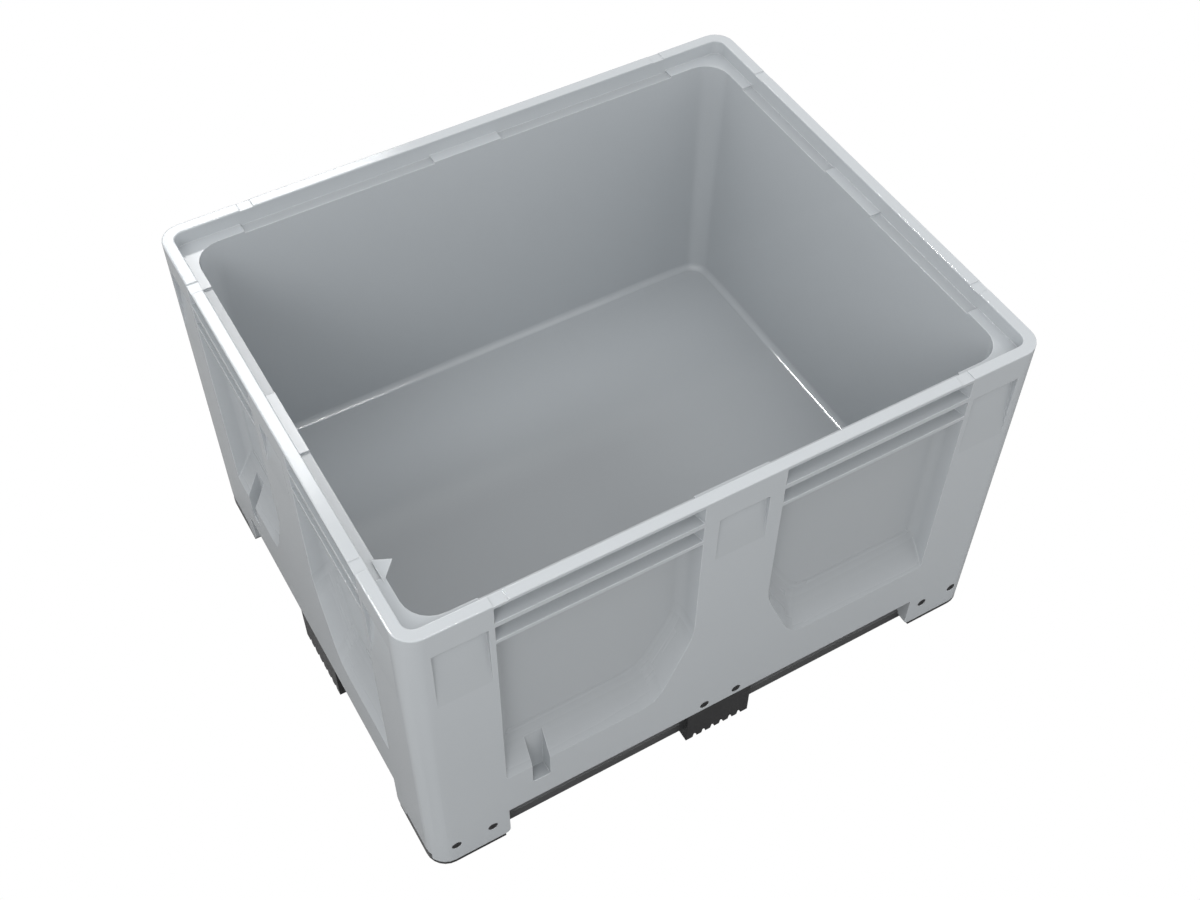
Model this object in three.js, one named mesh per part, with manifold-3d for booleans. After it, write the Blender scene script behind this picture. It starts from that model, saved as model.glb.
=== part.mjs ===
// A plastic pallet container: one hollow-walled grey box moulding that stands on three black
// runners. The front and back runners are held by push-in pins through the box wall.
// Millimetres, +Z up, the origin on the ground under the middle of the box. X runs along the
// long side, and the front long side faces -Y.
import * as THREE from 'three';
import * as BufferGeometryUtils from 'three/addons/utils/BufferGeometryUtils.js';
import Module from 'manifold-3d';

// Overall box
const boxLength = 1200;
const boxWidth = 1000;
const boxHeight = 750;
const cornerRadius = 40;
const wall = 5;
const seatGap = 0.3;

// Loading space: its mouth at the ledge, its floor and the slope between them
const cavityInset = 44;
const cavityRadius = 100;
const cavityDraft = 4;
const floorHeight = 166;
const floorFillet = 14;

// Rim round the mouth
const rimWidth = 22;
const rimDepth = 30;
const rimInnerRadius = 20;
const rimFlange = 8;
const edgeRound = 2;
const ledgeStep = 4;
const notchLength = 26;
const notchDepth = 2;

// Posts at the corners and in the middle of each side, with the panels set back between them
const cornerPost = 152;
const midPostHalf = 76;
const panelDepth = 37;
const panelDraft = 10;
const panelTop = 647;
const panelBottom = 209;
const panelFillet = 15;
const panelCorner = 6;
const sillRise = 80;
const flareHeight = 376;
const flareRise = 40;
const flareWidth = 70;
const flareRound = 30;

// Two stiffening ribs over each panel
const upperRibTop = 703;
const upperRibBottom = 692;
const lowerRibTop = 656;
const ribGapDepth = 26;
const ribEndDraft = 6;
const ribCorner = 2;

// Sloping finger pockets at the top of each post
const pocketDepth = 12;
const pocketTop = 692;
const cornerPocketBottom = 547;
const midPocketBottom = 585;
const midPocketHalf = 48;
const cornerPocketInner = 142;
const cornerPocketOuter = 46;

// Underside: ribbed base, its outer edge, and the skirts of the corner feet
const baseEdge = 89;
const baseRibs = 112;
const ribPitch = 118;
const skirtFoot = 8;
const skirtRound = 10;
const cornerFootLength = 152;
const cornerFootWidth = 160;

// Drain niche in one bay of each side
const drainPlace = 220;
const drainWidth = 35;
const drainDepth = 28;
const drainBottom = 150;

// Runners
const runnerInset = 24;
const runnerWidth = 100;
const middleRunnerWidth = 120;
const runnerHeight = 24;
const runnerWall = 5;
const blockHalf = 70;
const blockDepth = 155;
const endBlockHalf = 80;
const tongueHeight = 128;
const tongueDepth = 24;
const toothPitch = 20;
const toothDepth = 11;
const toothGap = 10;
const toothCrest = 5;

// Push-in pins
const pinHead = 19;
const pinShank = 11;
const pinHeadDepth = 3;
const pinReach = 16;
const pinTip = 3;
const pinTaper = 2;
const cornerPinHeight = 60;
const cornerPinNear = 45;
const cornerPinFar = 118;
const midPinHeight = 106;
const midPinPlace = 35;

const grey = { color: 0x9a9ea1, roughness: 0.5, metalness: 0 };
const black = { color: 0x1c1d1f, roughness: 0.45, metalness: 0 };

const wasm = await Module();
wasm.setup();

const halfLength = boxLength / 2;
const halfWidth = boxWidth / 2;
const ledgeHeight = boxHeight - rimDepth;
const arcSteps = 6;
const roundSteps = 3;
const cornerSteps = 2;
const pinFacets = 16;
const weldDistance = 1e-4;
const overcut = 2;

// The four sides, each turned about the vertical from the front one. A place on a side is given as
// (along, depth, height), with depth measured inward from the face.
const sides = [
  { name: 'front', turn: 0, reach: halfWidth, half: halfLength },
  { name: 'right', turn: 1, reach: halfLength, half: halfWidth },
  { name: 'back', turn: 2, reach: halfWidth, half: halfLength },
  { name: 'left', turn: 3, reach: halfLength, half: halfWidth },
];

function solidOf(geometry) {
  const bare = geometry.index ? geometry.clone() : geometry;
  bare.deleteAttribute('normal');
  bare.deleteAttribute('uv');
  const merged = BufferGeometryUtils.mergeVertices(bare, weldDistance);
  return new wasm.Manifold(new wasm.Mesh({
    numProp: 3,
    vertProperties: new Float32Array(merged.attributes.position.array),
    triVerts: new Uint32Array(merged.index.array),
  }));
}

function geometryOf(solid) {
  const mesh = solid.getMesh();
  const geometry = new THREE.BufferGeometry();
  geometry.setAttribute('position', new THREE.BufferAttribute(mesh.vertProperties, 3));
  geometry.setIndex(new THREE.BufferAttribute(mesh.triVerts, 1));
  return geometry;
}

// A closed solid through a row of convex outlines with as many points each.
function loft(rings) {
  const count = rings[0].length;
  const points = rings.flat();
  const faces = [];
  for (let i = 1; i < count - 1; i += 1) {
    faces.push([0, i + 1, i]);
    const top = (rings.length - 1) * count;
    faces.push([top, top + i, top + i + 1]);
  }
  for (let ring = 0; ring < rings.length - 1; ring += 1) {
    for (let i = 0; i < count; i += 1) {
      const a = ring * count + i;
      const b = ring * count + ((i + 1) % count);
      faces.push([a, b, b + count], [a, b + count, a + count]);
    }
  }
  const volume = faces.reduce((sum, [a, b, c]) => (
    sum + points[a].dot(points[b].clone().cross(points[c]))
  ), 0);
  const index = faces.flatMap(([a, b, c]) => (volume > 0 ? [a, b, c] : [a, c, b]));
  const geometry = new THREE.BufferGeometry().setFromPoints(points);
  geometry.setIndex(index);
  return solidOf(geometry);
}

// A rounded rectangle round the vertical axis, at one height.
function roundedRing(halfX, halfY, radius, z) {
  const points = [];
  for (let corner = 0; corner < 4; corner += 1) {
    const signX = corner === 0 || corner === 3 ? 1 : -1;
    const signY = corner < 2 ? 1 : -1;
    for (let step = 0; step <= arcSteps; step += 1) {
      const angle = (corner + step / arcSteps) * Math.PI / 2;
      const x = signX * (halfX - radius) + radius * Math.cos(angle);
      const y = signY * (halfY - radius) + radius * Math.sin(angle);
      points.push(new THREE.Vector3(x, y, z));
    }
  }
  return points;
}

// The box's outline at one height, set in from the outer faces.
function insetRing(inset, radius, z) {
  return roundedRing(halfLength - inset, halfWidth - inset, radius, z);
}

function insetBlock(inset, radius, low, high) {
  return loft([low, high].map((z) => insetRing(inset, radius, z)));
}

// Steps of a quarter round: how far it has run on and how far it has turned away.
function quarterRound(radius) {
  return Array.from({ length: roundSteps + 1 }, (_, step) => {
    const angle = step / roundSteps * Math.PI / 2;
    return { run: radius * Math.sin(angle), away: radius * (1 - Math.cos(angle)) };
  });
}

function block(x0, x1, y0, y1, z0, z1) {
  const geometry = new THREE.BoxGeometry(Math.abs(x1 - x0), Math.abs(y1 - y0), Math.abs(z1 - z0));
  geometry.translate((x0 + x1) / 2, (y0 + y1) / 2, (z0 + z1) / 2);
  return solidOf(geometry);
}

function placeOnSide(side, along, depth, z) {
  const point = new THREE.Vector3(along, depth - side.reach, z);
  return point.applyAxisAngle(new THREE.Vector3(0, 0, 1), side.turn * Math.PI / 2);
}

function sideBlock(side, a0, a1, d0, d1, z0, z1) {
  const corners = [[a0, d0], [a1, d0], [a1, d1], [a0, d1]];
  return loft([z0, z1].map((z) => corners.map(([a, d]) => placeOnSide(side, a, d, z))));
}

// A straight bar along a side, from a convex outline given as depth and height.
function sideBar(side, a0, a1, outline) {
  return loft([a0, a1].map((a) => outline.map(([d, z]) => placeOnSide(side, a, d, z))));
}

function join(solids) {
  return wasm.Manifold.union(solids);
}

function cut(solid, tools) {
  return solid.subtract(join(tools));
}

// The outer block from the wall's lower edge up, rounded over at the edge of the rim.
function outerBlock() {
  const top = quarterRound(edgeRound).map(({ run, away }) => (
    insetRing(away, cornerRadius - away, boxHeight - edgeRound + run)
  ));
  return loft([insetRing(0, cornerRadius, baseEdge), ...top]);
}

// The room inside the rim, over the ledge.
function rimMouth() {
  const top = quarterRound(edgeRound).map(({ run, away }) => (
    insetRing(rimWidth - away, rimInnerRadius + away, boxHeight - edgeRound + run)
  ));
  const over = insetRing(rimWidth - edgeRound, rimInnerRadius + edgeRound, boxHeight + overcut);
  return loft([insetRing(rimWidth, rimInnerRadius, ledgeHeight), ...top, over]);
}

// One panel's outline as seen from outside, with the flare of the middle post cut across a corner.
// It is drawn in by the share of the full depth that it lies at, and by a rounding.
function panelOutline(side, share, round) {
  const inset = panelDraft * share + round;
  const inner = midPostHalf + inset;
  const outer = side.half - cornerPost - inset;
  const low = panelBottom + sillRise * share + round;
  const flare = flareHeight + flareRise * share + round;
  const corners = [
    [inner, panelTop, ribCorner], [outer, panelTop, ribCorner], [outer, low, panelCorner],
    [inner + flareWidth, low, flareRound], [inner, flare, flareRound],
  ];
  return corners.flatMap(([x, z, radius], i) => {
    const here = new THREE.Vector2(x, z);
    const before = new THREE.Vector2(...corners[(i + 4) % 5]).sub(here).normalize();
    const after = new THREE.Vector2(...corners[(i + 1) % 5]).sub(here).normalize();
    const start = here.clone().addScaledVector(before, radius);
    const end = here.clone().addScaledVector(after, radius);
    return new THREE.QuadraticBezierCurve(start, here, end).getPoints(cornerSteps);
  });
}

// The set-back panel on one half of a side: drafted walls and a steep sill, rounded into the panel.
function panelRecess(side, sign) {
  const stages = quarterRound(panelFillet).map(({ run, away }) => [panelDepth - panelFillet + run, away]);
  return loft([[-overcut, 0], ...stages].map(([depth, round]) => (
    panelOutline(side, depth / panelDepth, round).map((point) => (
      placeOnSide(side, sign * point.x, depth, point.y)
    ))
  )));
}

// A slot between two ribs from the middle post to the corner post, its ends drawn in with depth.
function ribSlot(side, sign, depth, low, high) {
  return loft([[-overcut, 0], [depth, ribEndDraft]].map(([d, draft]) => {
    const inner = sign * (midPostHalf + draft);
    const outer = sign * (side.half - cornerPost - draft);
    return [[inner, low], [outer, low], [outer, high], [inner, high]].map(([a, z]) => (
      placeOnSide(side, a, d, z)
    ));
  }));
}

// The gaps above and below the upper rib, and under the rim flange.
function ribGaps(side, sign) {
  return [
    ribSlot(side, sign, ribGapDepth, lowerRibTop, upperRibBottom),
    ribSlot(side, sign, ribGapDepth, upperRibTop, ledgeHeight - wall),
    ribSlot(side, sign, rimWidth - wall, upperRibTop, boxHeight - rimFlange),
  ];
}

// A pocket that starts at the face and slopes in towards its top.
function fingerPocket(side, a0, a1, bottom) {
  const start = bottom - overcut * (pocketTop - bottom) / pocketDepth;
  return sideBar(side, a0, a1, [[-overcut, start], [-overcut, pocketTop], [pocketDepth, pocketTop]]);
}

function fingerPockets(side) {
  const corners = [-1, 1].map((sign) => {
    const inner = sign * (side.half - cornerPocketInner);
    const outer = sign * (side.half - cornerPocketOuter);
    return fingerPocket(side, inner, outer, cornerPocketBottom);
  });
  return [...corners, fingerPocket(side, -midPocketHalf, midPocketHalf, midPocketBottom)];
}

// Long pieces of the ledge between the posts lie a little lower.
function ledgeSteps(side, sign) {
  const inner = sign * (midPostHalf - wall);
  const outer = sign * (side.half - cornerPost + wall);
  const low = ledgeHeight - ledgeStep;
  return sideBlock(side, inner, outer, rimWidth, cavityInset + overcut, low, ledgeHeight);
}

// Shallow notches across the rim over the ends of the panels.
function rimNotch(side, sign) {
  const end = sign * (side.half - cornerPost);
  const start = sign * (side.half - cornerPost - notchLength);
  const low = boxHeight - notchDepth;
  return sideBlock(side, start, end, -overcut, rimWidth + overcut, low, boxHeight + overcut);
}

// The loading space with its sloping walls and rounded floor edge, grown by a skin thickness.
function cavity(skin) {
  const rise = ledgeHeight - floorHeight;
  const at = (z, away) => {
    const inset = cavityInset - skin + cavityDraft * (ledgeHeight - z) / rise + away;
    return insetRing(inset, cavityRadius + skin - away, z);
  };
  const low = floorHeight - skin;
  const edge = quarterRound(floorFillet).map(({ run, away }) => at(low + floorFillet - run, away));
  return loft([at(ledgeHeight + overcut, 0), ...edge]);
}

// Plan areas of the posts, used to keep the hollow inside them.
function postAreas(low, high) {
  const deep = cornerPost - panelDraft - wall;
  return join(sides.flatMap((side) => [
    sideBlock(side, -midPostHalf + wall, midPostHalf - wall, 0, cavityInset, low, high),
    sideBlock(side, side.half - deep, side.half, 0, deep, low, high),
  ]));
}

// The hollow between the outer skin and the wall of the loading space, open below.
function postHollows() {
  const shallow = pocketDepth + wall;
  const deep = insetBlock(wall, cornerRadius - wall, skirtFoot - overcut, cornerPocketBottom);
  const high = insetBlock(shallow, cornerRadius - shallow, cornerPocketBottom - overcut, upperRibBottom);
  return join([deep, high]).subtract(cavity(wall)).intersect(postAreas(0, boxHeight));
}

// The hollow behind the wall under the panels, with a sloping roof that follows the sill.
function skirtHollow(side, sign) {
  const slope = sillRise / panelDepth;
  const roofDrop = wall * Math.hypot(1, slope);
  const back = cavityInset - wall;
  const roof = (depth) => panelBottom + slope * depth - roofDrop;
  const low = baseEdge - overcut;
  const inner = sign * (midPostHalf - wall);
  const outer = sign * (side.half - cornerPost + wall + panelDraft);
  return sideBar(side, inner, outer, [[wall, low], [wall, roof(wall)], [back, roof(back)], [back, low]]);
}

// Open cells between the ribs under the floor.
function baseCells() {
  const cells = [];
  const reachX = halfLength - panelDepth;
  const reachY = halfWidth - panelDepth;
  const countX = Math.round(2 * reachX / ribPitch);
  const countY = Math.round(2 * reachY / ribPitch);
  const stepX = 2 * reachX / countX;
  const stepY = 2 * reachY / countY;
  for (let i = 0; i < countX; i += 1) {
    for (let j = 0; j < countY; j += 1) {
      const x = -reachX + i * stepX;
      const y = -reachY + j * stepY;
      cells.push(block(x + wall / 2, x + stepX - wall / 2, y + wall / 2, y + stepY - wall / 2,
        baseRibs - overcut, floorHeight - wall));
    }
  }
  return cells;
}

// The part of an inset block that lies over one corner foot. The foot's inner edges round over at
// the bottom of the skirt.
function cornerFoot(signX, signY, inset, low, high) {
  const x0 = halfLength - cornerFootLength + inset;
  const y0 = halfWidth - cornerFootWidth + inset;
  const ring = (z, away) => [
    [x0 + away, y0 + away], [boxLength, y0 + away], [boxLength, boxWidth], [x0 + away, boxWidth],
  ].map(([x, y]) => new THREE.Vector3(signX * x, signY * y, z));
  const edge = quarterRound(skirtRound).map(({ run, away }) => ring(skirtFoot + skirtRound - run, away));
  const area = loft([ring(boxHeight, 0), ...edge, ring(-overcut, skirtRound)]);
  return insetBlock(inset, cornerRadius - inset, low, high).intersect(area);
}

const cornerSigns = [[-1, -1], [1, -1], [1, 1], [-1, 1]];

function pinPlaces(side) {
  const places = [];
  for (const sign of [-1, 1]) {
    places.push([sign * (side.half - cornerPinNear), cornerPinHeight]);
    places.push([sign * (side.half - cornerPinFar), cornerPinHeight]);
    places.push([sign * midPinPlace, midPinHeight]);
  }
  return places;
}

// A push-in pin, head flush with the face, as a turned profile laid along the depth.
function pinSolid(side, along, z, clearance) {
  const head = pinHead / 2 + clearance;
  const shank = pinShank / 2 + clearance;
  const reach = pinReach + clearance;
  const seat = pinHeadDepth + clearance;
  const tip = clearance > 0 ? shank : shank - pinTaper;
  const outer = clearance > 0 ? -overcut : 0;
  const profile = [
    [0, outer], [head, outer], [head, seat], [shank, seat],
    [shank, reach - pinTip], [tip, reach], [0, reach],
  ];
  const geometry = new THREE.LatheGeometry(profile.map(([r, d]) => new THREE.Vector2(r, d)), pinFacets);
  const middle = placeOnSide(side, along, 0, z);
  geometry.rotateZ(side.turn * Math.PI / 2);
  geometry.translate(middle.x, middle.y, middle.z);
  return solidOf(geometry);
}

function pinnedSides() {
  return sides.filter((side) => side.name === 'front' || side.name === 'back');
}

function pinHoles() {
  return pinnedSides().flatMap((side) => (
    pinPlaces(side).map(([along, z]) => pinSolid(side, along, z, seatGap))
  ));
}

// A runner bar across the box, open below, and the room that it needs in the skirts.
function runnerBar(middle, halfBar, clearance) {
  const high = runnerHeight + clearance;
  return block(-halfLength - clearance, halfLength + clearance, middle - halfBar - clearance,
    middle + halfBar + clearance, -clearance, high);
}

// The drain niche in one bay: the shell round it, and the niche itself.
function drain(side) {
  const start = drainPlace - side.half - drainWidth / 2;
  const end = start + drainWidth;
  const roof = panelBottom + sillRise;
  const low = drainBottom - wall;
  return {
    shell: sideBlock(side, start - wall, end + wall, wall / 2, drainDepth + wall, low, roof - wall)
      .subtract(panelRecess(side, -1)).subtract(cavity(0)),
    niche: sideBlock(side, start, end, -overcut, drainDepth, drainBottom, roof + sillRise),
  };
}

function containerBody() {
  const under = insetBlock(wall, cornerRadius - wall, baseEdge - overcut, baseRibs);
  const outside = sides.flatMap((side) => [...fingerPockets(side), ...[-1, 1].flatMap((sign) => [
    panelRecess(side, sign),
    ...ribGaps(side, sign),
    ledgeSteps(side, sign),
    rimNotch(side, sign),
    skirtHollow(side, sign),
  ])]);
  const hollows = [cavity(0), rimMouth(), ...outside, postHollows(), ...baseCells()];
  const box = cut(outerBlock().subtract(under), hollows);
  const drains = sides.map((side) => drain(side));
  const footHollows = cornerSigns.map(([x, y]) => (
    cornerFoot(x, y, wall, skirtFoot - overcut, floorHeight - wall)
  ));
  const skirts = cornerSigns.map(([x, y]) => cornerFoot(x, y, 0, skirtFoot, baseRibs));
  const upper = join([box, ...drains.map((entry) => entry.shell)]);
  const whole = join([cut(upper, footHollows), cut(join(skirts), footHollows)]);
  const runnerRoom = [-1, 1].map((sign) => (
    runnerBar(sign * (halfWidth - runnerInset - runnerWidth / 2), runnerWidth / 2, seatGap)
  ));
  return cut(whole, [...drains.map((entry) => entry.niche), ...runnerRoom, ...pinHoles()]);
}

// Teeth under a block: grooves across it, narrower at the top.
function toothGrooves(side, half, depth) {
  const count = Math.round(2 * half / toothPitch);
  const pitch = 2 * half / count;
  const grooves = [];
  for (let i = 1; i < count; i += 1) {
    const middle = -half + i * pitch;
    const low = [[middle - toothGap / 2, -overcut], [middle + toothGap / 2, -overcut]];
    const high = [[middle + toothCrest / 2, toothDepth], [middle - toothCrest / 2, toothDepth]];
    grooves.push(loft([-overcut, depth].map((d) => (
      [...low, ...high].map(([a, z]) => placeOnSide(side, a, d, z))
    ))));
  }
  return grooves;
}

// A block of a runner that stands flush with one side, hollow from above, with a tongue that goes
// up behind the box wall.
function flushBlock(side, half) {
  const skin = runnerWall;
  const solid = join([
    sideBlock(side, -half, half, 0, blockDepth, 0, baseEdge - seatGap),
    sideBlock(side, -half, half, wall + seatGap, blockDepth, 0, baseRibs - seatGap),
  ]);
  const hollow = sideBlock(side, -half + skin, half - skin, tongueDepth + wall + skin, blockDepth - skin,
    runnerHeight, baseRibs + overcut);
  const tongue = sideBlock(side, -half + skin, half - skin, wall + seatGap, wall + tongueDepth,
    toothDepth + skin, tongueHeight);
  return join([solid.subtract(hollow), tongue]);
}

// The end of a long runner: a sole under the corner foot and a hollow block inside its skirt.
function cornerEnd(signX, signY) {
  const clear = wall + seatGap;
  const sole = cornerFoot(signX, signY, 0, 0, skirtFoot - seatGap);
  const core = cornerFoot(signX, signY, clear, 0, baseRibs - seatGap);
  const hollow = cornerFoot(signX, signY, clear + pinReach, runnerHeight, baseRibs);
  return join([sole, core.subtract(hollow)]);
}

// The channel under a bar, between two of its blocks.
function barChannel(x0, x1, middle, halfBar) {
  const half = halfBar - runnerWall;
  return block(x0, x1, middle - half, middle + half, -overcut, runnerHeight - runnerWall);
}

// A long runner under the front or back: bar, two corner ends and the block under the middle post.
function longRunner(sideName, signY) {
  const side = sides.find((entry) => entry.name === sideName);
  const half = runnerWidth / 2;
  const middle = signY * (halfWidth - runnerInset - half);
  const reach = halfLength - cornerFootLength / 2;
  const bar = block(-reach, reach, middle - half, middle + half, 0, runnerHeight);
  const channels = [-1, 1].map((sign) => (
    barChannel(sign * (blockHalf + runnerWall), sign * (halfLength - cornerFootLength), middle, half)
  ));
  const solid = join([bar, cornerEnd(-1, signY), cornerEnd(1, signY), flushBlock(side, blockHalf)]);
  const holes = pinPlaces(side).map(([along, z]) => pinSolid(side, along, z, seatGap));
  return cut(solid, [...channels, ...toothGrooves(side, blockHalf, blockDepth), ...holes]);
}

// The middle runner: bar, two end blocks flush with the short sides, and a block in the centre.
function middleRunner() {
  const ends = sides.filter((side) => side.name === 'left' || side.name === 'right');
  const half = middleRunnerWidth / 2;
  const inside = endBlockHalf - runnerWall;
  const centre = block(-endBlockHalf, endBlockHalf, -endBlockHalf, endBlockHalf, 0, baseRibs - seatGap);
  const centreHollow = block(-inside, inside, -inside, inside, runnerHeight, baseRibs + overcut);
  const channels = [-1, 1].map((sign) => (
    barChannel(sign * endBlockHalf, sign * (halfLength - blockDepth), 0, half)
  ));
  const blocks = ends.map((side) => flushBlock(side, endBlockHalf));
  const solid = join([runnerBar(0, half, 0), centre.subtract(centreHollow), ...blocks]);
  return cut(solid, [...channels, ...ends.flatMap((side) => toothGrooves(side, endBlockHalf, blockDepth))]);
}

const container = new THREE.Group();
container.name = 'plastic_pallet_container';

function addPiece(name, solid, finish) {
  const mesh = new THREE.Mesh(geometryOf(solid), new THREE.MeshStandardMaterial(finish));
  mesh.name = name;
  container.add(mesh);
}

addPiece('container_body', containerBody(), grey);
addPiece('runner_front', longRunner('front', -1), black);
addPiece('runner_middle', middleRunner(), black);
addPiece('runner_back', longRunner('back', 1), black);
for (const side of pinnedSides()) {
  pinPlaces(side).forEach(([along, z], i) => {
    addPiece(`pin_${side.name}_${i + 1}`, pinSolid(side, along, z, 0), black);
  });
}

export default container;
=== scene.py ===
"""A grey plastic pallet container on black runners, in a pale studio, from above one corner."""
import logging
import math
from dataclasses import dataclass, field
from enum import Enum
from typing import Callable, Iterable, Sequence

import bmesh
import bpy
from mathutils import Euler, Matrix, Vector


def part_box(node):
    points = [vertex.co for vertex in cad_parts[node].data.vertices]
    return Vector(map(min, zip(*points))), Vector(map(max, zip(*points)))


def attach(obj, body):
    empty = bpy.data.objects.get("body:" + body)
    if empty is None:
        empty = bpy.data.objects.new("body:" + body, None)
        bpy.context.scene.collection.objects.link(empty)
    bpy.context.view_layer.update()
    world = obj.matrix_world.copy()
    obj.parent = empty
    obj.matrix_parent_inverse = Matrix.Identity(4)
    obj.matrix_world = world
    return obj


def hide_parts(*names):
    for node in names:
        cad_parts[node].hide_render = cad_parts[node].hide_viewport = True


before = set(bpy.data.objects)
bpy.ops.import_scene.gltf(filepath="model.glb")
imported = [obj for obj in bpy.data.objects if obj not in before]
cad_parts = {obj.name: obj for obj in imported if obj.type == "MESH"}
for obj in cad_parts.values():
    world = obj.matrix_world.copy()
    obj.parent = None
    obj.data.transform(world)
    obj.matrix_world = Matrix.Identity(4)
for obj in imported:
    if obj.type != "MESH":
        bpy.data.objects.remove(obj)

log = logging.getLogger("pallet_container")

Rgb = tuple[float, float, float]
Pair = tuple[float, float]
Socket = bpy.types.NodeSocket
Tree = bpy.types.NodeTree
Labels = Iterable[tuple[str, str]]


class Side(Enum):
    """The long sides that carry the pins, as the direction of their outward face along Y."""

    FRONT = -1.0
    BACK = 1.0


@dataclass(frozen=True)
class PlasticFinish:
    """How one moulded plastic looks.

    Attributes:
        title: Name of the material.
        slot: Material slot of the record that it belongs to. Not used.
        colour: Main colour, linear.
        shade: Colour of the slightly darker flow patches.
        painted_shading: Colour that the parts set back from the outer faces, and the middle of the
            floor,
        are drawn towards. It is fitted to the tones of the photograph.
        highlight_colour: Colour of the painted highlights on edges and on the top of the rim.
        roughness: Lowest and highest roughness.
        grain: Height of the fine grain, in metres.
        grain_scale: Fineness of the grain.
        painted_highlight: How much of the painted highlight colour shows at edges.
        edge_radius: Radius that sharp edges are shaded with, in metres.
    """

    title: str
    slot: str
    colour: Rgb
    shade: Rgb
    # Painted shade colour; on the black runners it is lighter, painted light.
    painted_shading: Rgb
    # Colour of the painted highlights on edges and on the top of the rim.
    highlight_colour: Rgb
    roughness: tuple[float, float]
    grain: float
    grain_scale: float
    # Strength of the painted edge highlights.
    painted_highlight: float
    edge_radius: float


GREY_MOULDING = PlasticFinish(
    title="grey_moulding", slot="grey_moulding",
    colour=(0.474, 0.500, 0.521), shade=(0.464, 0.490, 0.511),
    # The third colour is painted shade and the fourth a painted highlight.
    painted_shading=(0.284, 0.300, 0.313), highlight_colour=(0.60, 0.625, 0.645),
    roughness=(0.08, 0.11), grain=0.00003, grain_scale=900.0, painted_highlight=1.6, edge_radius=0.0018,
)
BLACK_MOULDING = PlasticFinish(
    title="black_moulding", slot="black_moulding",
    colour=(0.012, 0.012, 0.013), shade=(0.020, 0.020, 0.021),
    # The third colour is painted light on the runners, lighter than black; the fourth a painted
    # edge highlight.
    painted_shading=(0.220, 0.225, 0.230), highlight_colour=(0.05, 0.05, 0.052),
    roughness=(0.22, 0.30), grain=0.00010, grain_scale=700.0, painted_highlight=0.30, edge_radius=0.0012,
)
BLACK_PIN = PlasticFinish(
    title="black_pin", slot="black_pin",
    colour=(0.009, 0.009, 0.010), shade=(0.014, 0.014, 0.015),
    # The fourth colour is a painted edge highlight.
    painted_shading=(0.009, 0.009, 0.010), highlight_colour=(0.04, 0.04, 0.042),
    roughness=(0.30, 0.42), grain=0.00005, grain_scale=1500.0, painted_highlight=0.25, edge_radius=0.0004,
)


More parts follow.
